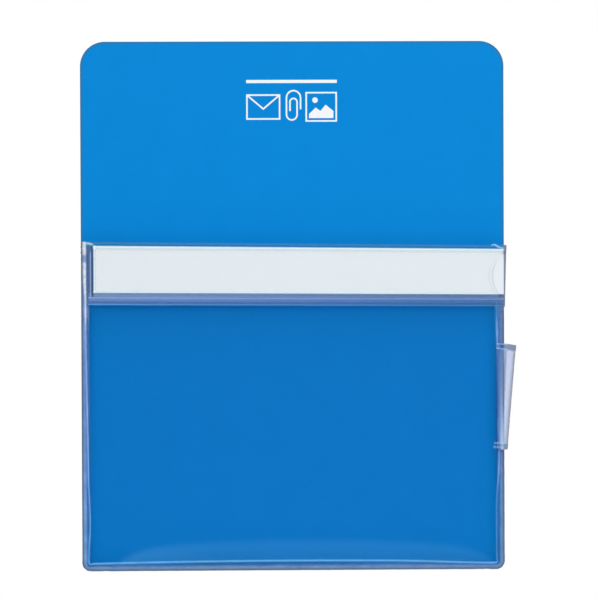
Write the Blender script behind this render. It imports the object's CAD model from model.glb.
"""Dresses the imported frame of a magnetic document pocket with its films, card, print and finishes."""

import math

import bpy
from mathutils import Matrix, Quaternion, Vector, noise


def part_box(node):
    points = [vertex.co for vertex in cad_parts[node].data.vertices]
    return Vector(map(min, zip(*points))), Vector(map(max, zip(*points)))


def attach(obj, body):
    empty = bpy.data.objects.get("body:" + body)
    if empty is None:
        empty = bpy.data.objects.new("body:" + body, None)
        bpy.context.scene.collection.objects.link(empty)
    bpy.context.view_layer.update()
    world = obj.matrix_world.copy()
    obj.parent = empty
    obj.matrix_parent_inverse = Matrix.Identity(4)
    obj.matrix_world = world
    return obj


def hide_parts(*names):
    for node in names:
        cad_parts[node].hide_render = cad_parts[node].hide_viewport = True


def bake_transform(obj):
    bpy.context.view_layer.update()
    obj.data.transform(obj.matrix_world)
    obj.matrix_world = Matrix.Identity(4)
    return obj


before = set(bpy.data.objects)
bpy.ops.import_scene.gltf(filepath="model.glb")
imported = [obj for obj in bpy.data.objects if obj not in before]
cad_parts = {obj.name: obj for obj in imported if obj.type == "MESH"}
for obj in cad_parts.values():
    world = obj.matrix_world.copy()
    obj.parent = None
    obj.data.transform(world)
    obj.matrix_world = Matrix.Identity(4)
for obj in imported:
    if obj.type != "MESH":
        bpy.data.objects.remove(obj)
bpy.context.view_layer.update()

MM = 0.001

# Places taken from the frame
board_low, board_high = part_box("face_sheet")
film_low, film_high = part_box("front_film")
window_low, window_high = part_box("title_window")
card_low, card_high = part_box("title_card")
tab_low, tab_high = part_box("pen_sleeve_tab")
sleeve_low, sleeve_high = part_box("pen_sleeve")

BOARD_SIDE = board_high.x
BOARD_BOTTOM = board_low.z
FACE_Y = board_low.y
MOUTH_Z = film_high.z
FILM_SIDE = -film_low.x
FILM_BOTTOM = film_low.z
FILM_FRONT_Y = film_low.y
FILM_BACK_Y = film_high.y
SLEEVE_LENGTH = sleeve_high.z - sleeve_low.z

# Pocket films, as the frame has them
BOARD_CORNER = 5 * MM
SEAM_INSET = BOARD_SIDE - FILM_SIDE
FILM_CORNER = BOARD_CORNER - SEAM_INSET
TIGHTEST_CORNER = 0.4 * MM
FILM_THICKNESS = 0.4 * MM
THIN_FILM = 0.3 * MM
REAR_FLANGE = 1.8 * MM
FRONT_FLANGE = 2 * MM
BEND_RADIUS = (FACE_Y - FILM_BACK_Y) / 2

# The gusset's creases, and the steps round a turn
CREASE_DEPTH = 0.6 * MM
CREASE_PER_SECTION = 0.45
CREASE_PER_RADIAN = 1.4
TURN_STEP = math.radians(7.5)

# The strip across the mouth: its slot for the card, its weld's ridge and its thumb notch
SLOT_BOTTOM = window_low.z + 6.7 * MM
SLOT_TOP = MOUTH_Z - 2 * MM
SLOT_LEFT = card_low.x - 0.4 * MM
RIDGE_RISE = 4.2 * MM
NOTCH_RADIUS = 16.5 * MM
NOTCH_X = 129.6 * MM
NOTCH_Z = 17.7 * MM

# The strip hangs a little lower at its right end
STRIP_SLOPE = 0.0067
MOUTH_SLOPE = 0.0113
SLOPE_FADE = 40 * MM

# Weld seam round the pocket, as insets from the board's edge: its bead wanders and bows a little
LEFT_BEAD_LOW = 4.0 * MM
LEFT_BEAD_HIGH = 2.8 * MM
LEFT_BEAD_BOW = 0.9 * MM
RIGHT_BEAD_LOW = 5.1 * MM
RIGHT_BEAD_HIGH = 4.4 * MM
RIGHT_BEAD_SHIFT = 1.5 * MM
BOTTOM_BEAD_END = 4.9 * MM
BOTTOM_BEAD_BOW = 1.1 * MM
BEAD_WIDTH = 0.8 * MM
BEAD_HEIGHT = 0.16 * MM
GROOVE_PAST_BEAD = -1.4 * MM
SLACK_DEPTH = 0.5 * MM

# Heights between which the light on the seam changes
SEAM_LOW_Z = -130 * MM
SEAM_HIGH_Z = -30 * MM

# The pen sleeve's film, which is a little narrower than its solid, and the hems at its ends
SLEEVE_BOTTOM_WIDTH = 5.9 * MM
SLEEVE_TOP_WIDTH = 10.8 * MM
SLEEVE_ROUNDNESS = 0.42
SLEEVE_HEM = 3.8 * MM
HEM_PROUD = 0.12 * MM
RIM_SAG = 0.9 * MM
TAB_HEM = 3.6 * MM

# The print stands a hair proud of the board, and the envelope's flap a little less
PRINT_FRONT_Y = FACE_Y - 0.03 * MM
PRINT_BACK_Y = FACE_Y + 0.005 * MM
FLAP_SET_BACK = 0.008 * MM

# The title card stops a little short of the board's right edge, and its end shows blue from behind
CARD_END = card_high.x - 0.75 * MM
CARD_TINTED_END = 2.6 * MM
CARD_END_BLUE = (0.775, 0.83, 0.92)

# The blue sheet is duller towards its cut edge
TOP_CORNER = 14 * MM
EDGE_SHADE = 0.62
EDGE_SHADE_WIDTH = 2.1 * MM
CUT_EDGE_BLUE = (0.04, 0.135, 0.18)

# The most that one coat covers, where shading turns sharp, and which cut edges are softened
MOST_COVERED = 0.96
SHARP_ANGLE = math.radians(50)
CUT_EDGE_ANGLE = math.radians(40)

# What each surface of a clear film lets through, head-on and where it turns away
FRONT_TINT = (0.955, 0.9365, 0.9595)
FRONT_EDGE_TINT = (0.55, 0.66, 0.80)
WINDOW_TINT = (0.998, 0.998, 0.999)
WINDOW_EDGE_TINT = (0.55, 0.62, 0.74)
SIDE_TINT = (0.895, 0.92, 0.965)
SIDE_EDGE_TINT = (0.45, 0.48, 0.58)

# Tones that light leaves on the bends, welds and rims of the film
LAVENDER = (0.22, 0.36, 0.72)
CORNFLOWER = (0.22, 0.44, 0.80)
BOTTOM_BLUE = (0.29, 0.47, 0.72)
SKY = (0.12, 0.42, 0.88)
PALE_SKY = (0.30, 0.48, 0.90)
BOTTOM_SKY = (0.15, 0.49, 0.92)
BRIGHT_SKY = (0.42, 0.78, 1.0)
CURL_BLUE = (0.30, 0.58, 0.88)
RIM_GLOW = (0.0, 0.55, 1.0)
HAZE = (0.19, 0.65, 1.0)
GLEAM = (0.76, 0.93, 1.0)
FROST = (0.78, 0.85, 0.95)
MIST = (0.56, 0.62, 0.90)
BAND_BLUE = (0.18, 0.30, 0.60)
BAND_GREY = (0.25, 0.36, 0.61)
RIDGE_BLUE = (0.30, 0.46, 0.86)
WELD_LINE = (0.36, 0.46, 0.78)
DUSK = (0.035, 0.19, 0.42)
FOLD_BLUE = (0.03, 0.19, 0.41)
SLATE = (0.095, 0.165, 0.32)
DEEP_SLATE = (0.045, 0.085, 0.18)
NAVY = (0.015, 0.12, 0.30)
EDGE_GREY = (0.10, 0.165, 0.27)
END_GREY = (0.155, 0.18, 0.24)
CREASE_GREY = (0.27, 0.36, 0.53)
SLEEVE_HAZE = (0.34, 0.44, 0.76)
SLEEVE_ROOT = (0.04, 0.17, 0.42)
SLEEVE_LIGHT = (0.30, 0.58, 0.93)
SLEEVE_GLEAM = (0.52, 0.71, 1.0)
SLEEVE_FOLD = (0.12, 0.17, 0.30)
SLEEVE_GREY = (0.24, 0.24, 0.26)
SLEEVE_LEFT_HEM = (0.25, 0.52, 0.92)
SLEEVE_RIGHT_HEM = (0.17, 0.21, 0.32)
SLEEVE_DEEP = (0.04, 0.10, 0.25)
SLEEVE_LINE = (0.34, 0.54, 0.92)


def ramp(value, start, end):
    """0 before start, 1 after end, and a smooth rise between."""
    t = min(max((value - start) / (end - start), 0), 1)
    return t * t * (3 - 2 * t)


def hump(value, centre, width):
    """A smooth bump: 1 at its centre and 0 a width away from it."""
    return 1 - ramp(abs(value - centre), 0, width)


def blended(start, end, share):
    """The value a share of the way from start to end."""
    return start + (end - start) * share


def between(start, end, share):
    """The tone or point a share of the way from one to another."""
    return tuple(blended(a, b, share) for a, b in zip(start, end))


def stations(first, *spans):
    """Places from first on to each span's end, in steps no longer than the span's own."""
    places = [first]
    for end, step in spans:
        start = places[-1]
        count = max(1, math.ceil(abs(end - start) / step - 1e-6))
        places += [blended(start, end, i / count) for i in range(1, count + 1)]
    return places


def wrinkle(along, across, seed):
    """Smooth noise between about -1 and 1."""
    return noise.noise(Vector((along, across, seed)))


def grid_solid(outer, inner, wrap=False):
    """A closed solid between two grids of points; with wrap, the last row joins the first."""
    rows, columns = len(outer), len(outer[0])
    points = [p for row in outer for p in row] + [p for row in inner for p in row]
    back = rows * columns
    faces = []
    for j in range(rows if wrap else rows - 1):
        here, there = j * columns, ((j + 1) % rows) * columns
        for k in range(columns - 1):
            a, b, c, d = here + k, here + k + 1, there + k + 1, there + k
            faces += [(a, b, c, d), (back + d, back + c, back + b, back + a)]
        faces.append((here, there, back + there, back + here))
        last = columns - 1
        faces.append((here + last, back + here + last, back + there + last, there + last))
    if not wrap:
        end = (rows - 1) * columns
        for k in range(columns - 1):
            faces.append((k, back + k, back + k + 1, k + 1))
            faces.append((end + k, end + k + 1, back + end + k + 1, back + end + k))
    return points, faces


def plate_faces(count):
    """The faces of a plate whose points are an outline, then the same outline behind it."""
    faces = [tuple(range(count)), tuple(range(2 * count - 1, count - 1, -1))]
    for i in range(count):
        following = (i + 1) % count
        faces.append((i, count + i, count + following, following))
    return faces


def plate_solid(outline, front_y, back_y):
    """A flat plate from an outline of x and z, drawn the way round that faces the viewer."""
    points = [(x, y, z) for y in (front_y, back_y) for x, z in outline]
    return points, plate_faces(len(outline))


def make_piece(name, parts, material, coats=None, smooth=True):
    """An object from solids, with a material and the coats of its points, where it has them."""
    points, faces = [], []
    for part_points, part_faces in parts:
        start = len(points)
        points += part_points
        faces += [tuple(start + i for i in face) for face in part_faces]
    mesh = bpy.data.meshes.new(name)
    mesh.from_pydata(points, [], faces)
    if coats:
        shares = [share for share, _ in coats]
        tones = [channel for _, tone in coats for channel in (*tone, 1)]
        mesh.attributes.new("coat", "FLOAT", "POINT").data.foreach_set("value", shares)
        mesh.attributes.new("tone", "FLOAT_COLOR", "POINT").data.foreach_set("color", tones)
    mesh.polygons.foreach_set("use_smooth", [smooth] * len(mesh.polygons))
    mesh.materials.append(material)
    mesh.validate()
    piece = bpy.data.objects.new(name, mesh)
    bpy.context.scene.collection.objects.link(piece)
    if smooth:
        mesh.set_sharp_from_angle(angle=SHARP_ANGLE)
    return piece


def coated(*coats):
    """
    Coats of colour laid over each other, each the share that it covers and its tone, as one. The tone
    that comes back is already multiplied by the share.
    """
    covered, colour = 0, (0, 0, 0)
    for share, tone in coats:
        share = min(max(share, 0), MOST_COVERED)
        covered += share * (1 - covered)
        colour = between(colour, tone, share)
    return covered, colour


def film_piece(name, rows, material, wrap=False):
    """A film from rows of places. Each has its outer point, its inner point and its outer coat."""
    outer, inner, coats = ([[place[k] for place in row] for row in rows] for k in range(3))
    outside = [coat for row in coats for coat in row]
    clear = [coated()] * len(outside)
    return make_piece(name, [grid_solid(outer, inner, wrap)], material, outside + clear)


def add(tree, kind, sockets=None, **settings):
    """A shader node with its settings; each socket takes a value or another node's output."""
    made = tree.nodes.new("ShaderNode" + kind)
    for key, value in settings.items():
        setattr(made, key, value)
    for key, value in (sockets or {}).items():
        if isinstance(value, bpy.types.NodeSocket):
            tree.links.new(value, made.inputs[key])
        else:
            made.inputs[key].default_value = value
    return made


def maths(tree, operation, first, second):
    """One sum of two values or sockets."""
    return add(tree, "Math", {0: first, 1: second}, operation=operation).outputs[0]


def new_material(name):
    """An empty node material and its output."""
    material = bpy.data.materials.new(name)
    material.use_nodes = True
    material.node_tree.nodes.clear()
    output = add(material.node_tree, "OutputMaterial")
    return material, material.node_tree, output


def grain(tree, scale, detail=3.0, stretch=(1, 1, 1)):
    """Noise in the object's own space."""
    place = add(tree, "TexCoord").outputs["Object"]
    mapped = add(tree, "Mapping", {"Vector": place, "Scale": stretch}).outputs["Vector"]
    return add(tree, "TexNoise", {"Vector": mapped, "Scale": scale, "Detail": detail}).outputs["Fac"]


def two_tones(tree, share, dark, light):
    """A colour between two, by a share from 0 to 1."""
    ends = {"Fac": share, "Color1": (*dark, 1), "Color2": (*light, 1)}
    return add(tree, "MixRGB", ends).outputs["Color"]


def solid_material(name, dark, light, roughness, specular, mottle, relief, relief_height):
    """
    An opaque finish between two tones. Its mottling and its relief each take a grain's scale, detail
    and stretch.
    """
    material, tree, output = new_material(name)
    colour = two_tones(tree, grain(tree, *mottle), dark, light)
    height = {"Height": grain(tree, *relief), "Distance": relief_height, "Strength": 0.6}
    bumped = add(tree, "Bump", height).outputs["Normal"]
    body = {"Base Color": colour, "Roughness": roughness, "Specular IOR Level": specular}
    surface = add(tree, "BsdfPrincipled", body | {"Normal": bumped})
    tree.links.new(surface.outputs["BSDF"], output.inputs["Surface"])
    return material


def tint_surface(material, share, tone):
    """Lays a tone over a solid finish, by a share that the given function makes in its tree."""
    tree = material.node_tree
    surface = next(node for node in tree.nodes if node.type == "BSDF_PRINCIPLED")
    plain = surface.inputs["Base Color"].links[0].from_socket
    mixed = add(tree, "MixRGB", {"Fac": share(tree), "Color1": plain, "Color2": (*tone, 1)})
    tree.links.new(mixed.outputs["Color"], surface.inputs["Base Color"])


def near_cut_edge(tree):
    """Strongest on the board's cut edge, gone a little way in. The top corners are larger."""
    place_on_board = add(tree, "TexCoord").outputs["Object"]
    x, _, z = add(tree, "SeparateXYZ", {"Vector": place_on_board}).outputs
    at_top = maths(tree, "GREATER_THAN", z, 0.0)
    larger = maths(tree, "MULTIPLY", at_top, TOP_CORNER - BOARD_CORNER)
    corner = maths(tree, "ADD", larger, BOARD_CORNER)
    to_side = maths(tree, "SUBTRACT", maths(tree, "ABSOLUTE", x, 0.0), BOARD_SIDE)
    to_end = maths(tree, "ADD", maths(tree, "ABSOLUTE", z, 0.0), BOARD_BOTTOM)
    across = maths(tree, "ADD", to_side, corner)
    along = maths(tree, "ADD", to_end, corner)
    in_corner = {"X": maths(tree, "MAXIMUM", across, 0.0), "Y": maths(tree, "MAXIMUM", along, 0.0)}
    offset = add(tree, "CombineXYZ", in_corner).outputs["Vector"]
    beyond = add(tree, "VectorMath", {0: offset}, operation="LENGTH").outputs["Value"]
    inside = maths(tree, "MINIMUM", maths(tree, "MAXIMUM", across, along), 0.0)
    outward = maths(tree, "SUBTRACT", maths(tree, "ADD", beyond, inside), corner)
    steps = {"Value": outward, "From Min": -EDGE_SHADE_WIDTH, "From Max": 0.0, "To Max": EDGE_SHADE}
    return add(tree, "MapRange", steps).outputs["Result"]


def blue_vinyl():
    """Satin blue vinyl with a fine pressed grain, duller along its cut edge."""
    material = solid_material(
        "blue_vinyl",
        dark=(0.0006, 0.2265, 0.641),
        light=(0.0018, 0.2405, 0.675),
        roughness=0.42,
        specular=0.03,
        mottle=(60,),
        relief=(2600, 2),
        relief_height=0.03 * MM,
    )
    tint_surface(material, near_cut_edge, CUT_EDGE_BLUE)
    return material


def magnet_rubber():
    """Dark ferrite rubber with the fine lines of the rollers down its length."""
    return solid_material(
        "magnet_rubber",
        dark=(0.016, 0.0135, 0.012),
        light=(0.034, 0.029, 0.026),
        roughness=0.72,
        specular=0.3,
        mottle=(900, 4, (1, 1, 0.02)),
        relief=(1500, 3, (1, 1, 0.03)),
        relief_height=0.06 * MM,
    )


def laminating_adhesive():
    """Cream adhesive, seen only as a hairline at the board's edge."""
    return solid_material(
        "laminating_adhesive",
        dark=(0.60, 0.56, 0.45),
        light=(0.72, 0.69, 0.58),
        roughness=0.55,
        specular=0.3,
        mottle=(400,),
        relief=(800,),
        relief_height=0.02 * MM,
    )


def near_card_end(tree):
    """1 on the right end of the card."""
    place_in_card = add(tree, "TexCoord").outputs["Object"]
    along = add(tree, "SeparateXYZ", {"Vector": place_in_card}).outputs["X"]
    start = CARD_END - CARD_TINTED_END
    steps = {"Value": along, "From Min": start - 0.4 * MM, "From Max": start + 0.4 * MM}
    return add(tree, "MapRange", steps).outputs["Result"]


def card_paper():
    """Smooth white card with faint fibres, whose right end shows a little blue."""
    material = solid_material(
        "card_paper",
        dark=(0.78, 0.834, 0.864),
        light=(0.80, 0.854, 0.884),
        roughness=0.75,
        specular=0.08,
        mottle=(500, 5, (1, 1, 4)),
        relief=(1800, 4, (1, 1, 3)),
        relief_height=0.02 * MM,
    )
    tint_surface(material, near_card_end, CARD_END_BLUE)
    return material


def white_ink():
    """Screen-printed white, a little uneven."""
    return solid_material(
        "white_ink",
        dark=(0.80, 0.83, 0.86),
        light=(0.93, 0.95, 0.97),
        roughness=0.5,
        specular=0.1,
        mottle=(900,),
        relief=(2600,),
        relief_height=0.01 * MM,
    )


def clear_film(name, tint, edge_tint, streaks=(1, 1, 1)):
    """
    Clear film: each surface passes its tint, deeper where it turns away, and shows the coat of its
    points where light catches it. Its gloss grows towards its edges.
    """
    material, tree, output = new_material(name)
    facing = add(tree, "LayerWeight", {"Blend": 0.5}).outputs["Facing"]
    passed = two_tones(tree, maths(tree, "POWER", facing, 6.0), tint, edge_tint)
    through = add(tree, "BsdfTransparent", {"Color": passed}).outputs["BSDF"]
    coat = add(tree, "Attribute", attribute_name="coat").outputs["Fac"]
    tone = add(tree, "Attribute", attribute_name="tone").outputs["Color"]
    share = maths(tree, "MAXIMUM", coat, 0.0001)
    colour = add(tree, "VectorMath", {0: tone, 1: share}, operation="DIVIDE").outputs["Vector"]
    spread = {"Value": grain(tree, 260, 3, streaks), "To Min": 0.85, "To Max": 1.15}
    uneven = add(tree, "MapRange", spread).outputs["Result"]
    covered = maths(tree, "MINIMUM", maths(tree, "MULTIPLY", coat, uneven), 1.0)
    body = {"Base Color": colour, "Roughness": 0.5, "Specular IOR Level": 0.02}
    milky = add(tree, "BsdfPrincipled", body).outputs["BSDF"]
    film = add(tree, "MixShader", {"Fac": covered, 1: through, 2: milky}).outputs["Shader"]
    edge_gloss, least_gloss = 0.4, 0.001
    sheen = maths(tree, "MULTIPLY", maths(tree, "POWER", facing, 4.0), edge_gloss)
    gloss = maths(tree, "ADD", sheen, least_gloss)
    mirror = add(tree, "BsdfAnisotropic", {"Color": (1, 1, 1, 1), "Roughness": 0.14}).outputs["BSDF"]
    surface = add(tree, "MixShader", {"Fac": gloss, 1: film, 2: mirror}).outputs["Shader"]
    tree.links.new(surface, output.inputs["Surface"])
    return material


def rim_inset(x, z):
    """How far a point is in from the board's sides and bottom, whose corners are rounded."""
    across = abs(x) - (BOARD_SIDE - BOARD_CORNER)
    down = BOARD_BOTTOM + BOARD_CORNER - z
    beyond = math.hypot(max(across, 0), max(down, 0))
    return BOARD_CORNER - beyond - min(max(across, down), 0)


def up_strip(z):
    """How far up the strip a height is: 0 at its weld and below, 1 at the mouth."""
    return min(max((z - window_low.z) / (MOUTH_Z - window_low.z), 0), 1)


def settled(x, z):
    """The height of a point of the films once the strip has settled towards its right end."""
    reached = ramp(z, window_low.z - SLOPE_FADE, window_low.z)
    slope = reached * blended(STRIP_SLOPE, MOUTH_SLOPE, up_strip(z))
    return z - slope * x


def strip_end(z):
    """How far right the strip and the film behind it reach at a height: most at the mouth."""
    return blended(BOARD_SIDE - 0.1 * MM, window_high.x - 0.35 * MM, up_strip(z))


def flared(x, z):
    """The right end of the film widens where the title window's end stands proud."""
    reach = film_high.x - FILM_SIDE
    share = min(max((z - (window_low.z - reach)) / reach, 0), 1)
    return x + (strip_end(z) - FILM_SIDE) * share * ramp(x, FILM_SIDE - 2 * reach, FILM_SIDE)


def overhang_coat(x, z):
    """The films' cut right end, past the card's: a dark grey line."""
    return 0.85 * ramp(x, CARD_END - 0.2 * MM, CARD_END + 0.2 * MM) * ramp(z, -2 * MM, 0), END_GREY


def rounded(x, z):
    """The film's bottom corners: each square block of the grid is drawn in to a quarter disc."""
    across = abs(x) - (FILM_SIDE - FILM_CORNER)
    down = FILM_BOTTOM + FILM_CORNER - z
    if across <= 0 or down <= 0:
        return x, z
    scale = max(across, down) / math.hypot(across, down)
    side = FILM_SIDE - FILM_CORNER + across * scale
    return math.copysign(side, x), FILM_BOTTOM + FILM_CORNER - down * scale


def haze_coat(x, z):
    """The pale flat arch of light along the bottom of the front film, palest at its left."""
    middle, half_span = 7 * MM, 105 * MM
    top, bow, end_drop = -130.8 * MM, 5.1 * MM, 6.5 * MM
    share, left_gain = 0.06, 1.8
    out = min(abs(x - middle) / half_span, 1.05)
    crest = top - bow * out**2 - end_drop * out**10
    gain = blended(left_gain, 1, ramp(x, -95 * MM, -35 * MM))
    return share * gain * ramp(z, crest + 1 * MM, crest - 4 * MM), HAZE


def along_bottom(x, z):
    """1 on the bottom part of the seam, 0 on its sides, and a share of both at the corners."""
    from_side, from_bottom = BOARD_SIDE - abs(x), z - BOARD_BOTTOM
    return ramp(from_side - from_bottom, -3 * MM, 3 * MM)


def bead_inset(x, z):
    """Where the bright line of the weld seam runs, as an inset from the board's edge."""
    left = blended(LEFT_BEAD_LOW, LEFT_BEAD_HIGH, ramp(z, -100 * MM, -5 * MM))
    left += LEFT_BEAD_BOW * hump(z, -121 * MM, 26 * MM)
    right = blended(RIGHT_BEAD_LOW, RIGHT_BEAD_HIGH, ramp(z, -100 * MM, -30 * MM))
    right += 0.4 * MM * ramp(z, -22 * MM, -6 * MM)
    right -= RIGHT_BEAD_SHIFT * ramp(z, -114 * MM, -88 * MM) * (1 - ramp(z, -60 * MM, -25 * MM))
    bottom = BOTTOM_BEAD_END + BOTTOM_BEAD_BOW * max(1 - (x / (110 * MM)) ** 2, 0)
    bottom -= 0.7 * MM * ramp(x, 55 * MM, 110 * MM)
    return blended(left if x < 0 else right, bottom, along_bottom(x, z))


def bead_coat(inset, x, z):
    """The bright blue line of light along the bead of the weld seam, strongest on the left."""
    uneven = 1 + 0.25 * wrinkle(x / (9 * MM), z / (9 * MM), seed=3)
    upper = ramp(z, -140 * MM, -50 * MM)
    at_bottom = along_bottom(x, z)
    if x < 0:
        strength, width, paleness = blended(0.78, 0.95, upper), BEAD_WIDTH, upper
    else:
        paleness = max(hump(z, -88 * MM, 22 * MM), 0.8 * hump(z, -16 * MM, 14 * MM))
        strength = blended(blended(0.48, 0.75, paleness), 0.78, at_bottom)
        width = blended(blended(0.7, 1.2, upper) * MM, BEAD_WIDTH, at_bottom)
    width += 0.15 * MM * at_bottom
    tone = between(between(SKY, PALE_SKY, 0.9 * paleness), BOTTOM_SKY, at_bottom)
    return strength * uneven * hump(inset - bead_inset(x, z), 0, width), tone


def groove_share(x, z, upper):
    """How dark the seam's groove is: most in the middle of the bottom, least at the top."""
    bottom = blended(0.62, 0.25, ramp(abs(x + 25 * MM), 35 * MM, 85 * MM))
    return blended(blended(0.35, bottom, along_bottom(x, z)), 0.15, upper)


def seam_coats(inset, x, z):
    """The weld seam's light: blue outside its bead, a dark groove, and dusk inside it on the left."""
    past = inset - bead_inset(x, z)
    upper = ramp(z, SEAM_LOW_Z, SEAM_HIGH_Z)
    most_outside = 0.5 if x < 0 else 0.3
    outside = blended(0.05, most_outside, upper) * (1 - ramp(past, GROOVE_PAST_BEAD, -0.5 * MM))
    groove = groove_share(x, z, upper) * hump(past, GROOVE_PAST_BEAD, 1.1 * MM)
    inside = 0.5 * upper * ramp(past, 0.4 * MM, 1 * MM) * (1 - ramp(past, 1 * MM, 3 * MM))
    glow = 0.035 * (1 - ramp(inset, 4 * MM, 26 * MM))
    coats = [(glow, RIM_GLOW), (outside, between(CORNFLOWER, LAVENDER, upper)), (groove, NAVY)]
    bead = bead_coat(inset, x, z)
    if x < 0:
        return coats + [(inside, DUSK), bead]
    right_glow = 0.04 * (1 - ramp(inset, 5 * MM, 14 * MM)) * (1 - along_bottom(x, z))
    upper_line = 0.55 * ramp(z, -34 * MM, -14 * MM) * hump(inset, 2.4 * MM, 0.8 * MM)
    return coats + [(right_glow, RIM_GLOW), (0.2 * inside, DUSK), bead, (upper_line, SLATE)]


def front_place(x, z):
    """A place of the front film, with its weld bead, a little slack and a flare at its right end."""
    px, pz = rounded(x, z)
    fx, fz = flared(px, pz), settled(px, pz)
    inset = rim_inset(fx, pz)
    below_strip = 1 - ramp(z, window_low.z - 40 * MM, window_low.z - 4 * MM)
    slack = SLACK_DEPTH * ramp(inset, 5 * MM, 45 * MM) * below_strip
    bead = BEAD_HEIGHT * hump(inset - bead_inset(fx, pz), 0, BEAD_WIDTH)
    coat = coated(haze_coat(fx, pz), *seam_coats(inset, fx, pz), overhang_coat(fx, pz))
    return (fx, FILM_FRONT_Y - bead - slack, fz), (fx, FILM_BACK_Y - slack, fz), coat


def front_film(material):
    """The flat front of the pocket, in finer steps along its seam and its haze."""
    fine, coarse = 0.25 * MM, 5 * MM
    seam, haze_end, haze_height = 9 * MM, -84 * MM, 24 * MM
    xs = stations(
        -FILM_SIDE,
        (-FILM_SIDE + seam, fine),
        (haze_end, 1 * MM),
        (FILM_SIDE - seam, coarse),
        (FILM_SIDE, fine),
    )
    zs = stations(
        FILM_BOTTOM,
        (FILM_BOTTOM + seam, fine),
        (FILM_BOTTOM + haze_height, 1.5 * MM),
        (window_low.z - 6 * MM, coarse),
        (window_low.z + 2 * MM, 1 * MM),
        (MOUTH_Z, coarse / 2),
    )
    rows = [[front_place(x, z) for x in xs] for z in zs]
    return film_piece("front_film_sheet", rows, material)


def slot_share(x, z, lower, upper, left):
    """1 where the title window stands off the film, over its slot, and 0 on its welds."""
    return ramp(z, *lower) * (1 - ramp(z, *upper)) * ramp(x, *left)


def window_end(z):
    """The right end of the title window at a height, drawn in by the thumb notch."""
    rise = abs(z - NOTCH_Z)
    if rise >= NOTCH_RADIUS:
        return strip_end(z)
    return min(strip_end(z), NOTCH_X - math.sqrt(NOTCH_RADIUS**2 - rise**2))


def corner_lift(x, z):
    """How far the strip's upper right corner curls up past its fold."""
    return 0.6 * MM * hump(x, 114 * MM, 2.5 * MM) * ramp(z, MOUTH_Z - 1.5 * MM, MOUTH_Z)


def weld_coats(x, z):
    """
    The strip's lower weld, which fades to the right: two blue bands with a ridge between, a bright cut
    edge, and two dark pressed lines towards the right.
    """
    rise = z - window_low.z
    fade = blended(1.0, 0.66, ramp(x, -FILM_SIDE, FILM_SIDE)) * ramp(x, -116 * MM, -115.2 * MM)
    lower_band = blended(0.35, 0.85, ramp(rise, 1.2 * MM, 3.6 * MM))
    lower_band *= 1 - ramp(rise, 3.8 * MM, 4.4 * MM)
    upper_band = 0.85 * ramp(rise, RIDGE_RISE, 5 * MM) * (1 - ramp(rise, 6.6 * MM, 6.9 * MM))
    ridge = 0.95 * hump(rise, RIDGE_RISE, 0.55 * MM)
    cut_edge = blended(0.95, 0.55, ramp(x, -112 * MM, -60 * MM)) * hump(rise, 0.6 * MM, 0.5 * MM)
    lines = hump(rise, 3.1 * MM, 0.6 * MM) + hump(rise, 1.3 * MM, 0.6 * MM)
    pressed = 0.4 * ramp(x, 0, 100 * MM) * lines
    bands = [(fade * lower_band, BAND_BLUE), (fade * upper_band, BAND_GREY), (pressed, NAVY)]
    return bands + [(fade * ridge, RIDGE_BLUE), (fade * cut_edge, SKY)]


def left_weld_coats(x, z):
    """The strip's left weld: slate blue, with a pale line down it and a dark line beside the card."""
    beside_card = ramp(z, window_low.z + RIDGE_RISE, window_low.z + 5 * MM)
    slate = 0.8 * ramp(x, -117 * MM, -115.4 * MM) * (1 - ramp(x, -113.1 * MM, -112.7 * MM))
    pale = 0.9 * hump(x, -114.2 * MM, 0.55 * MM) * (1 - ramp(z, 28 * MM, 32 * MM))
    dark = 0.95 * hump(x, -113.05 * MM, 0.9 * MM)
    coats = [(slate, SLATE), (pale, WELD_LINE), (dark, DEEP_SLATE)]
    return [(share * beside_card, tone) for share, tone in coats]


def rim_coats(x, z):
    """The bright rim that the film draws round the card's edges, and the dark fold above the card."""
    past_left = ramp(x, -112.9 * MM, -112.5 * MM)
    fold = 0.7 * ramp(z, card_high.z + 0.3 * MM, card_high.z + 0.9 * MM)
    upper = 0.85 * hump(z, card_high.z - 0.55 * MM, 1.1 * MM)
    lower = 0.75 * hump(z, card_low.z + 0.5 * MM, 1.0 * MM)
    left = 0.85 * hump(x, -111.9 * MM, 1.1 * MM) * ramp(z, card_low.z, card_low.z + 0.4 * MM)
    below_fold = 1 - ramp(z, card_high.z, card_high.z + 0.5 * MM)
    rims = [(rim * past_left, GLEAM) for rim in (upper, lower, left * below_fold)]
    return [(fold * past_left, FOLD_BLUE)] + rims


def notch_coats(x, z, edge):
    """Two faint arcs along the thumb notch, which fade upwards, and a dark mark below them."""
    near = ramp(x, 100 * MM, 108 * MM) * (1 - 0.75 * ramp(z, 21 * MM, 28 * MM))
    cut, outer_arc = hump(edge, 0.2 * MM, 0.5 * MM), hump(edge, 2.2 * MM, 0.7 * MM)
    mark = 0.5 * hump(x, 117.2 * MM, 1.5 * MM) * hump(z, 6.3 * MM, 1.4 * MM)
    return [(0.2 * near * cut, END_GREY), (0.06 * near * outer_arc, END_GREY), (mark, DEEP_SLATE)]


def curl_coats(x, z):
    """Light on the strip's two curled upper corners."""
    right_line = blended(35.4 * MM, 33.7 * MM, ramp(x, 113.4 * MM, 118.5 * MM))
    right = 0.85 * ramp(x, 111.8 * MM, 112.8 * MM) * hump(z, right_line, 0.9 * MM)
    left_line = blended(34.6 * MM, 33.9 * MM, ramp(x, -116 * MM, -112 * MM))
    left = 0.8 * (1 - ramp(x, -113.2 * MM, -112.2 * MM)) * hump(z, left_line, 1.1 * MM)
    return [(right, CURL_BLUE), (left, BRIGHT_SKY)]


def strip_coats(x, z, edge):
    """All that light does on the strip across the mouth."""
    coats = weld_coats(x, z) + left_weld_coats(x, z) + rim_coats(x, z)
    return coated(*coats, *notch_coats(x, z, edge), *curl_coats(x, z), overhang_coat(x, z))


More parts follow.
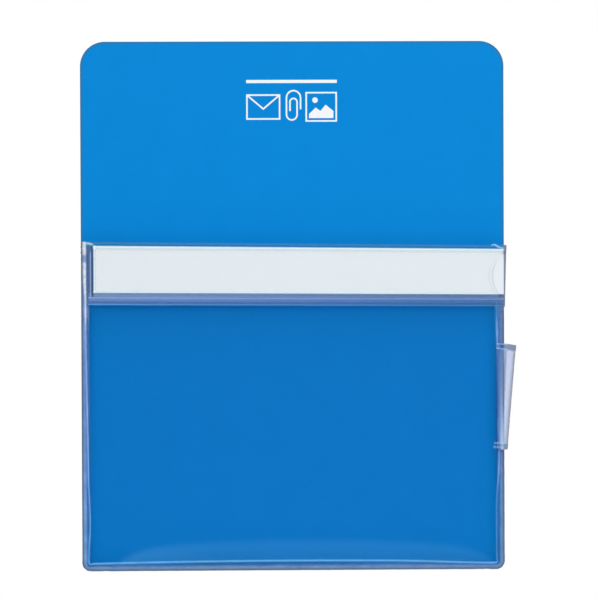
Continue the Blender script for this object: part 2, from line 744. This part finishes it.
def strip_section(x, z):
    """Where the strip's front and back lie in depth at a point of it."""
    stand = FILM_FRONT_Y - THIN_FILM - window_low.y
    lower = SLOT_BOTTOM - 1.2 * MM, SLOT_BOTTOM - 0.2 * MM
    left = SLOT_LEFT - 1.2 * MM, SLOT_LEFT - 0.2 * MM
    over = slot_share(x, z, lower, (SLOT_TOP + 0.6 * MM, MOUTH_Z), left)
    lower, left = (SLOT_BOTTOM - 0.6 * MM, SLOT_BOTTOM), (SLOT_LEFT - 0.6 * MM, SLOT_LEFT)
    under = slot_share(x, z, lower, (SLOT_TOP, SLOT_TOP + 0.5 * MM), left)
    ridge = 0.18 * MM * hump(z, window_low.z + RIDGE_RISE, 0.7 * MM)
    thin = 0.2 * MM * (1 - ramp(z, window_low.z, window_low.z + 0.4 * MM))
    front_y = FILM_FRONT_Y - THIN_FILM - ridge + thin - stand * over
    return front_y, FILM_FRONT_Y - stand * under


def window_place(share, z):
    """A place of the strip, at a share of the way to its right end."""
    end = window_end(z)
    x = blended(-FILM_SIDE, end, share)
    front_y, back_y = strip_section(x, z)
    pz = settled(x, z) + corner_lift(x, z)
    from_notch = end - x if end < strip_end(z) else 1
    return (x, front_y, pz), (x, back_y, pz), strip_coats(x, z, from_notch)


def title_window(material):
    """The strip across the mouth: welded below and at its left, off the card, and folded above."""
    fine, coarse = 0.0012, 0.02
    shares = stations(0, (0.05, fine), (0.93, coarse), (1, fine))
    zs = stations(
        window_low.z,
        (window_low.z + 9 * MM, 0.2 * MM),
        (card_high.z - 1 * MM, 1 * MM),
        (MOUTH_Z, 0.2 * MM),
    )
    rows = [[window_place(share, z) for share in shares] for z in zs]
    return film_piece("title_window_strip", rows, material)


def title_card(material):
    """The paper card, settled with the strip that holds it."""
    xs = stations(card_low.x, (CARD_END, 4 * MM))
    zs = stations(card_low.z, (card_high.z, 2 * MM))
    outer = [[(x, card_low.y, settled(x, z)) for x in xs] for z in zs]
    inner = [[(x, card_high.y, settled(x, z)) for x in xs] for z in zs]
    return make_piece("title_card_paper", [grid_solid(outer, inner)], material)


def rim_stations():
    """Where the gusset's sections lie: down the left, along the bottom and up the right."""
    straight = 1.5 * MM
    low = BOARD_BOTTOM + BOARD_CORNER
    inner_end = BOARD_SIDE - BOARD_CORNER
    down_left = stations(MOUTH_Z, (MOUTH_Z - 30 * MM, 0.5 * MM), (low, straight))
    left = [("side", -1, z) for z in down_left]
    first = [("corner", -1, a) for a in stations(0, (math.pi / 2, TURN_STEP))]
    bottom = [("bottom", 0, x) for x in stations(-inner_end, (inner_end, straight))]
    second = [("corner", 1, a) for a in stations(math.pi / 2, (0, TURN_STEP))]
    right = [("side", 1, z) for z in stations(low, (MOUTH_Z, straight))]
    return left + first[1:-1] + bottom + second[1:-1] + right


def rim_point(station, inset):
    """The point of a station at an inset from the board's edge, as x and z."""
    kind, side, value = station
    if kind == "side":
        return side * (BOARD_SIDE - inset), value
    if kind == "bottom":
        return value, BOARD_BOTTOM + inset
    radius = max(BOARD_CORNER - inset, TIGHTEST_CORNER)
    centre = BOARD_SIDE - inset - radius
    x = side * (centre + radius * math.cos(value))
    return x, BOARD_BOTTOM + inset + radius * (1 - math.sin(value))


def crumple(x, z):
    """How creased the gusset is: most at its upper left end, a little at its bottom corners."""
    end = ramp(z, MOUTH_Z - 14 * MM, MOUTH_Z - 2 * MM)
    upper = end * (1.0 if x < 0 else 0.45)
    corners = hump(abs(x), BOARD_SIDE - 6 * MM, 26 * MM) * hump(z, BOARD_BOTTOM, 26 * MM)
    return 0.12 + upper + 0.35 * corners


def left_end_coats(inset, z):
    """The gusset's creased upper left end: white, then grey, then a streak that narrows downwards."""
    crease = wrinkle(z / (2.5 * MM), inset / (1.2 * MM), seed=7)
    white = (0.85 + 0.3 * crease) * ramp(z, 27.5 * MM, 29 * MM)
    grey = (0.75 + 0.4 * crease) * hump(z, 26 * MM, 3.4 * MM)
    half = blended(0.55 * MM, 1.7 * MM, ramp(z, -2 * MM, 24 * MM))
    across = 1 - ramp(abs(inset - 2.8 * MM), 0.5 * half, 1.3 * half)
    dimmer = 1 - 0.5 * hump(z, 3.5 * MM, 4 * MM)
    along = ramp(z, -17 * MM, -3 * MM) * (1 - ramp(z, 23 * MM, 25 * MM))
    streak = (0.9 + 0.4 * crease) * across * dimmer * along
    beside = (0.45 + 0.4 * crease) * ramp(z, 4 * MM, 8 * MM) * hump(inset, 3.6 * MM, 2.2 * MM)
    return [(beside, MIST), (streak, FROST), (grey, CREASE_GREY), (white, FROST)]


def gusset_coats(inset, x, z):
    """The gusset's bend: blue, with a dark line along its outermost edge and white upper ends."""
    uneven = 1 + 0.3 * wrinkle(x / (5 * MM), z / (5 * MM), seed=11)
    upper = ramp(z, SEAM_LOW_Z, SEAM_HIGH_Z)
    on_left = ramp((z - BOARD_BOTTOM) - (BOARD_SIDE + x), -3 * MM, 3 * MM)
    outer_share = blended(0.72, 0.8, on_left)
    inner_share = blended(0.4, 0.55, on_left)
    blue_share = uneven * blended(outer_share, inner_share, ramp(inset, 1.5 * MM, 3.2 * MM))
    side_tone = between(CORNFLOWER, LAVENDER, upper)
    blue = (blue_share, between(side_tone, BOTTOM_BLUE, along_bottom(x, z)))
    edge_end = blended(2.8 * MM, 1.6 * MM, on_left)
    edge = (0.92 * (1 - ramp(inset, 0.8 * MM, edge_end)), EDGE_GREY)
    if x < 0:
        return coated(blue, bead_coat(inset, x, z), *left_end_coats(inset, z), edge)
    return coated(blue, edge, (0.6 * ramp(z, 31 * MM, 33 * MM), FROST))


def gusset_place(number, station, run, angle):
    """A place of the gusset, at a run along its flange and an angle round its bend."""
    swell = math.cos(angle)
    x, z = rim_point(station, SEAM_INSET)
    uneven = wrinkle(number * CREASE_PER_SECTION, angle * CREASE_PER_RADIAN, seed=5)
    crease = crumple(x, z) * uneven * swell
    points = []
    for radius in (BEND_RADIUS, BEND_RADIUS - FILM_THICKNESS):
        inset = SEAM_INSET + run - radius * swell + CREASE_DEPTH * crease
        px, pz = rim_point(station, inset)
        height = BEND_RADIUS + radius * math.sin(angle)
        points.append((px, FACE_Y - height, settled(px, pz)))
    on_bend = run == 0 and angle > -0.01
    coat = gusset_coats(SEAM_INSET - BEND_RADIUS * swell, x, z) if on_bend else coated()
    return *points, coat


def gusset_film(material):
    """The strip of film round the pocket's three closed sides, bent outward like a C."""
    bend_step = math.radians(9)
    bend = [(0, angle) for angle in stations(-math.pi / 2, (math.pi / 2, bend_step))]
    section = [(REAR_FLANGE, -math.pi / 2)] + bend + [(FRONT_FLANGE, math.pi / 2)]
    numbered = enumerate(rim_stations())
    rows = [[gusset_place(*place, *part) for part in section] for place in numbered]
    return film_piece("gusset_film", rows, material)


def points_between(start, end, spans):
    """The points that divide the way from one point to another into equal spans."""
    return [between(start, end, i / spans) for i in range(1, spans)]


def sleeve_loop(height, inset):
    """One loop of the pen sleeve's section: round in front, flat behind, a point at its fold."""
    width = blended(SLEEVE_BOTTOM_WIDTH, SLEEVE_TOP_WIDTH, height / SLEEVE_LENGTH)
    radius = SLEEVE_ROUNDNESS * width
    reach = width - radius
    half_angle = math.atan2(radius, reach)
    pinch = inset / math.sin(half_angle)
    turns = stations(-math.pi / 2, (math.pi / 2 + 2 * half_angle, TURN_STEP))
    loop = [(pinch * math.cos(half_angle), pinch * math.sin(half_angle))]
    for angle in turns:
        across = reach + (radius - inset) * math.cos(angle)
        loop.append((across, radius + (radius - inset) * math.sin(angle)))
    spans = 6
    back_run = points_between(loop[0], loop[1], spans)
    front_run = points_between(loop[-1], loop[0], spans)
    return loop[:1] + back_run + loop[1:] + front_run


def sleeve_coats(share_up, across, from_end):
    """The sleeve's haze and streaks of light, its grey right side, and its dark hems' bright lines."""
    low = 1 - share_up
    at_top = share_up > 0.5
    hem_line = SLEEVE_HEM - (1 * MM * (1 - ramp(across, 0.1, 0.8)) if at_top else 0.2 * MM)
    in_hem = 1 - ramp(from_end, hem_line - 0.3 * MM, hem_line + 0.3 * MM)
    on_left = 1 - ramp(across, 0.1, 0.32)
    streak = 0.52 * hump(across, 0.64, 0.22) * (1 - in_hem)
    root = 0.45 * (1 - ramp(across, 0.01, 0.07)) * (1 - in_hem)
    light_share = blended(0.45, 0.95, low**2) * (1 - 0.35 * in_hem)
    light_width = blended(0.22, 0.36, ramp(low, 0.5, 0.85))
    light = light_share * hump(across, blended(0.17, 0.38, low**2), light_width)
    inner_fold = 0.62 * (1 - ramp(low, 0.35, 0.75)) * hump(across, 0.41, 0.12) * (1 - in_hem)
    right_side = 0.65 * ramp(across, blended(0.78, 0.45, low), 0.94) * (1 - in_hem)
    left_hem, right_hem = 0.5 * on_left * in_hem, 0.8 * (1 - on_left) * in_hem
    lined = 1 - ramp(across, 0.4, 0.65)
    line = blended(0.6, 0.95, lined) * hump(from_end, hem_line, blended(0.6, 0.8, lined) * MM)
    outer_line = 0.95 * lined * hump(from_end, 0.2 * MM if at_top else 1.3 * MM, 0.75 * MM)
    pressed = in_hem * (0.8 * hump(across, 0.22, 0.17) if at_top else 0.4 * hump(across, 0.12, 0.35))
    line_tone = between(GLEAM, SLEEVE_LINE, ramp(across, 0, 0.12))
    return coated(
        (0.22, SLEEVE_HAZE),
        (streak, MIST),
        (root, SLEEVE_ROOT),
        (left_hem, SLEEVE_LEFT_HEM),
        (right_hem, SLEEVE_RIGHT_HEM),
        (light, between(SLEEVE_LIGHT, SLEEVE_GLEAM, low)),
        (inner_fold, SLEEVE_FOLD),
        (right_side, SLEEVE_GREY),
        (pressed, SLEEVE_DEEP),
        (line, line_tone),
        (outer_line, line_tone),
    )


def sleeve_ring(height):
    """The places round the pen sleeve at a height up it."""
    from_end = min(height, SLEEVE_LENGTH - height)
    past_hem = ramp(from_end, SLEEVE_HEM - 0.25 * MM, SLEEVE_HEM + 0.25 * MM)
    lip = 0.12 * MM * (1 - ramp(from_end, 0, 0.4 * MM))
    outer_loop = sleeve_loop(height, HEM_PROUD * past_hem + lip)
    inner_loop = sleeve_loop(height, HEM_PROUD + THIN_FILM)
    reach = max(a for a, _ in outer_loop)
    middle = max(f for _, f in outer_loop) / 2
    sag = RIM_SAG * ramp(height, SLEEVE_LENGTH - 8 * MM, SLEEVE_LENGTH)
    rings = [], []
    for loop, ring in zip((outer_loop, inner_loop), rings):
        for a, f in loop:
            z = sleeve_low.z + height - sag * ramp(a / reach, 0.4, 1)
            ring.append((sleeve_low.x + a, sleeve_high.y - f, z))
    coats = []
    for number, (a, f) in enumerate(outer_loop):
        in_front = number == 0 or f > 1.02 * a or (a > 0.55 * reach and f > middle)
        share_up, across = height / SLEEVE_LENGTH, a / reach
        coats.append(sleeve_coats(share_up, across, from_end) if in_front else coated())
    return list(zip(*rings, coats))


def pen_sleeve(material):
    """The tapered loop of film for a pen, with a doubled hem at each end."""
    heights = stations(
        0,
        (SLEEVE_HEM + 1 * MM, 0.2 * MM),
        (SLEEVE_LENGTH - SLEEVE_HEM - 1 * MM, 1.5 * MM),
        (SLEEVE_LENGTH, 0.2 * MM),
    )
    lengthwise = list(zip(*(sleeve_ring(height) for height in heights)))
    return film_piece("pen_sleeve_film", lengthwise, material, wrap=True)


def tab_place(across, drop, z):
    """A place of the tab, at a share of its width, where its rounded edge drops back a little."""
    bottom_flare = 1.3 * MM * (1 - ramp(z, tab_low.z, tab_low.z + 7 * MM))
    top_flare = 0.4 * MM * ramp(z, tab_high.z - 4 * MM, tab_high.z)
    x = tab_high.x - (0.5 * MM + bottom_flare + top_flare) * (1 - across)
    rise = z - tab_low.z
    share = 0.05 + 0.1 * (1 - ramp(rise, TAB_HEM - 1 * MM, TAB_HEM + 1 * MM))
    line = 0.7 * max(hump(rise, TAB_HEM, 0.8 * MM), hump(rise, 1.3 * MM, 0.75 * MM))
    coat = coated((share, LAVENDER), (line, SLEEVE_LEFT_HEM))
    return (x, tab_low.y + drop, z), (x, tab_high.y, z), coat


def pen_sleeve_tab(material):
    """The narrow welded tab that carries the pen sleeve, wider at its ends."""
    zs = stations(tab_low.z, (tab_low.z + 2 * TAB_HEM, 0.2 * MM), (tab_high.z, 0.75 * MM))
    section = [(0, 0.14 * MM), (0.25, 0.02 * MM), (0.5, 0), (0.75, 0.02 * MM), (1, 0.14 * MM)]
    rows = [[tab_place(*part, z) for part in section] for z in zs]
    return film_piece("pen_sleeve_weld_tab", rows, material)


def stroke(points, width, closed=False, front_y=PRINT_FRONT_Y):
    """A printed line of one width through points of x and z, with mitred corners."""
    count = len(points)
    left, right = [], []
    for i, (x, z) in enumerate(points):
        before = points[i - 1] if closed or i > 0 else points[i]
        after = points[(i + 1) % count] if closed or i < count - 1 else points[i]
        arriving = Vector((x - before[0], z - before[1]))
        leaving = Vector((after[0] - x, after[1] - z))
        if arriving.length == 0:
            arriving = leaving
        if leaving.length == 0:
            leaving = arriving
        arriving.normalize()
        leaving.normalize()
        normal = Vector((-(arriving.y + leaving.y), arriving.x + leaving.x)).normalized()
        miter = width / 2 / max(normal.dot(Vector((-arriving.y, arriving.x))), 0.5)
        left.append((x + normal.x * miter, z + normal.y * miter))
        right.append((x - normal.x * miter, z - normal.y * miter))
    pairs, depths = list(zip(left, right)), (front_y, PRINT_BACK_Y)
    outer, inner = ([[(x, y, z) for x, z in pair] for pair in pairs] for y in depths)
    return grid_solid(outer, inner, wrap=closed)


def arc(centre_x, centre_z, radius, start, end, steps=10):
    """Points round a circle from one angle to another, in degrees."""
    angles = [math.radians(blended(start, end, i / steps)) for i in range(steps + 1)]
    return [(centre_x + radius * math.cos(a), centre_z + radius * math.sin(a)) for a in angles]


def rectangle(low_x, low_z, high_x, high_z):
    """The corners of a rectangle, the way round that faces the viewer."""
    return [(low_x, low_z), (high_x, low_z), (high_x, high_z), (low_x, high_z)]


def envelope_print(x, z, line):
    """A closed envelope with its flap."""
    width, height = 18.5 * MM, 13.5 * MM
    frame_line = stroke(rectangle(x, z, x + width, z + height), line, closed=True)
    fold = [(x, z + height), (x + width / 2, z + 0.42 * height), (x + width, z + height)]
    return [frame_line, stroke(fold, line, front_y=PRINT_FRONT_Y + FLAP_SET_BACK)]


def clip_print(x, z, line):
    """A paper clip of three nested turns."""
    outer_r, middle_r, inner_r = 4 * MM, 3 * MM, 2 * MM
    top, bottom = z + 13.6 * MM, z + 4 * MM
    wire = [(x + outer_r, bottom + 3 * MM)] + arc(x, top, outer_r, 0, 180)
    wire += arc(x - 1 * MM, bottom, middle_r, 180, 360)
    wire += arc(x, top - 2.4 * MM, inner_r, 0, 180)
    wire += [(x - inner_r, bottom + 2 * MM)]
    return [stroke(wire, line)]


def picture_print(x, z, line):
    """A small framed landscape with a hill and a sun."""
    width, height = 17 * MM, 16 * MM
    frame_line = stroke(rectangle(x, z, x + width, z + height), line, closed=True)
    margin = 1.6 * MM
    low = z + margin
    hill = [
        (x + margin, low),
        (x + width - margin, low),
        (x + width - margin, low + 4 * MM),
        (x + 11 * MM, low + 7.6 * MM),
        (x + 8 * MM, low + 4 * MM),
        (x + 5.4 * MM, low + 6 * MM),
        (x + margin, low + 2.4 * MM),
    ]
    sun = arc(x + 5 * MM, z + height - 4.2 * MM, 1.6 * MM, 0, 337.5, 15)
    return [frame_line] + [plate_solid(shape, PRINT_FRONT_Y, PRINT_BACK_Y) for shape in (hill, sun)]


def printed_pictograms(material):
    """A generic white print near the board's top: an envelope, a paper clip and a framed picture."""
    low_z, left_x, line = 104.5 * MM, -25.6 * MM, 0.9 * MM
    parts = envelope_print(left_x, low_z + 1.6 * MM, line)
    parts += clip_print(left_x + 26.4 * MM, low_z, line)
    parts += picture_print(left_x + 33.6 * MM, low_z + 0.4 * MM, line)
    rule = [(left_x - 0.4 * MM, low_z + 22.8 * MM), (left_x + 51 * MM, low_z + 22.8 * MM)]
    parts.append(stroke(rule, 1.8 * MM))
    return make_piece("printed_pictograms", parts, material, smooth=False)


def dress(node, material, bevel=None):
    """Gives a node of the frame its finish, and softens its cut edges."""
    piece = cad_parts[node]
    for slot in piece.material_slots:
        slot.material = material
    if bevel:
        piece.modifiers.new("joined", "WELD").merge_threshold = 0.001 * MM
        edge = piece.modifiers.new("edge", "BEVEL")
        edge.width = bevel
        edge.segments = 2
        edge.use_clamp_overlap = False
        edge.angle_limit = CUT_EDGE_ANGLE


def place(piece, body, slot, node=None):
    """Rides a piece on its body, names its finish, and lets it stand for its node."""
    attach(piece, body)
    if node:
        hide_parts(node)


def area_lamp(name, place_at, size, power):
    """A soft square lamp that points at the middle of the board."""
    data = bpy.data.lights.new(name, "AREA")
    data.shape = "SQUARE"
    data.size = size
    data.energy = power
    lamp = bpy.data.objects.new(name, data)
    lamp.location = place_at
    lamp.rotation_euler = (-Vector(place_at)).to_track_quat("-Z", "Y").to_euler()
    bpy.context.scene.collection.objects.link(lamp)


def seen_directly(tree):
    """1 for what the camera sees, in mirrors and through glass too, and 0 for other light."""
    path = add(tree, "LightPath").outputs
    seen = maths(tree, "MAXIMUM", path["Is Camera Ray"], path["Is Glossy Ray"])
    return maths(tree, "MAXIMUM", seen, path["Is Transmission Ray"])


def plain_white(tree, strength):
    """An even white background."""
    settings = {"Color": (1, 1, 1, 1), "Strength": strength}
    return add(tree, "Background", settings).outputs["Background"]


def white_world(ambient):
    """White to the camera, and a plain soft light on the object."""
    world = bpy.data.worlds.new("studio")
    world.use_nodes = True
    tree = world.node_tree
    tree.nodes.clear()
    output = add(tree, "OutputWorld")
    shaders = {"Fac": seen_directly(tree), 1: plain_white(tree, ambient), 2: plain_white(tree, 1.0)}
    tree.links.new(add(tree, "MixShader", shaders).outputs["Shader"], output.inputs["Surface"])
    bpy.context.scene.world = world


def pale_floor():
    """A plain pale floor some way below the part."""
    material, tree, output = new_material("floor_white")
    matt = add(tree, "BsdfDiffuse", {"Color": (0.93, 0.93, 0.94, 1)}).outputs["BSDF"]
    tree.links.new(matt, output.inputs["Surface"])
    radius, thickness, top, forward = 0.5, 4 * MM, -0.3, 0.1
    turns = [math.radians(a) for a in range(0, 360, 6)]
    outline = [(radius * math.cos(a), radius * math.sin(a) - forward) for a in turns]
    points = [(x, y, z) for z in (top, top - thickness) for x, y in outline]
    floor = make_piece("floor", [(points, plate_faces(len(outline)))], material, smooth=False)


def photo_camera():
    """A long lens straight in front, with the photograph's framing and slight turn."""
    pixels, pixels_per_mm = 598, 1.7624
    distance, sensor = 1.6, 36
    target = Vector((3.5 * MM, FACE_Y, 3.97 * MM))
    azimuth, elevation, roll = math.radians(-1.07), math.radians(0.9), math.radians(-0.215)
    back = Vector((math.sin(azimuth), -math.cos(azimuth), math.sin(elevation))).normalized()
    data = bpy.data.cameras.new("camera")
    data.sensor_width = sensor
    data.lens = sensor * distance / (pixels / pixels_per_mm * MM)
    camera = bpy.data.objects.new("camera", data)
    camera.location = target + distance * back
    turn = (-back).to_track_quat("-Z", "Y") @ Quaternion((0, 0, 1), roll)
    camera.rotation_euler = turn.to_euler()
    bpy.context.scene.collection.objects.link(camera)
    bpy.context.scene.camera = camera


def studio():
    """World, lamps, floor and camera."""
    white_world(ambient=0.25)
    area_lamp("key", (-0.45, -1.6, 0.8), size=1.2, power=11.3)
    area_lamp("overhead", (0.1, -0.4, 1.3), size=0.7, power=10.2)
    area_lamp("fill", (0.8, -1.7, 0.5), size=1.0, power=10.2)
    area_lamp("behind", (0.4, 1.6, 0.3), size=1.2, power=12)
    pale_floor()
    photo_camera()
    bpy.context.scene.view_settings.view_transform = "Standard"
    bpy.context.scene.cycles.transparent_max_bounces = 48


def main():
    """Dresses the board, and puts every film, the card and the print on it."""
    studio()
    front = clear_film("clear_film_front", FRONT_TINT, FRONT_EDGE_TINT)
    window = clear_film("clear_film_window", WINDOW_TINT, WINDOW_EDGE_TINT, streaks=(1, 1, 3))
    side = clear_film("clear_film_side", SIDE_TINT, SIDE_EDGE_TINT, streaks=(2, 2, 2))
    dress("face_sheet", blue_vinyl(), bevel=0.19 * MM)
    dress("adhesive_film", laminating_adhesive())
    dress("magnet_sheet", magnet_rubber(), bevel=0.12 * MM)
    place(printed_pictograms(white_ink()), "backing", "white_card")
    place(front_film(front), "pocket_front", "clear_film", "front_film")
    place(title_window(window), "pocket_front", "clear_film", "title_window")
    place(title_card(card_paper()), "title_card", "white_card", "title_card")
    place(pen_sleeve(side), "pen_sleeve", "clear_film", "pen_sleeve")
    place(pen_sleeve_tab(side), "pocket_front", "clear_film", "pen_sleeve_tab")
    gusset = gusset_film(side)
    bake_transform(gusset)
    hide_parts("gusset_strip")


main()
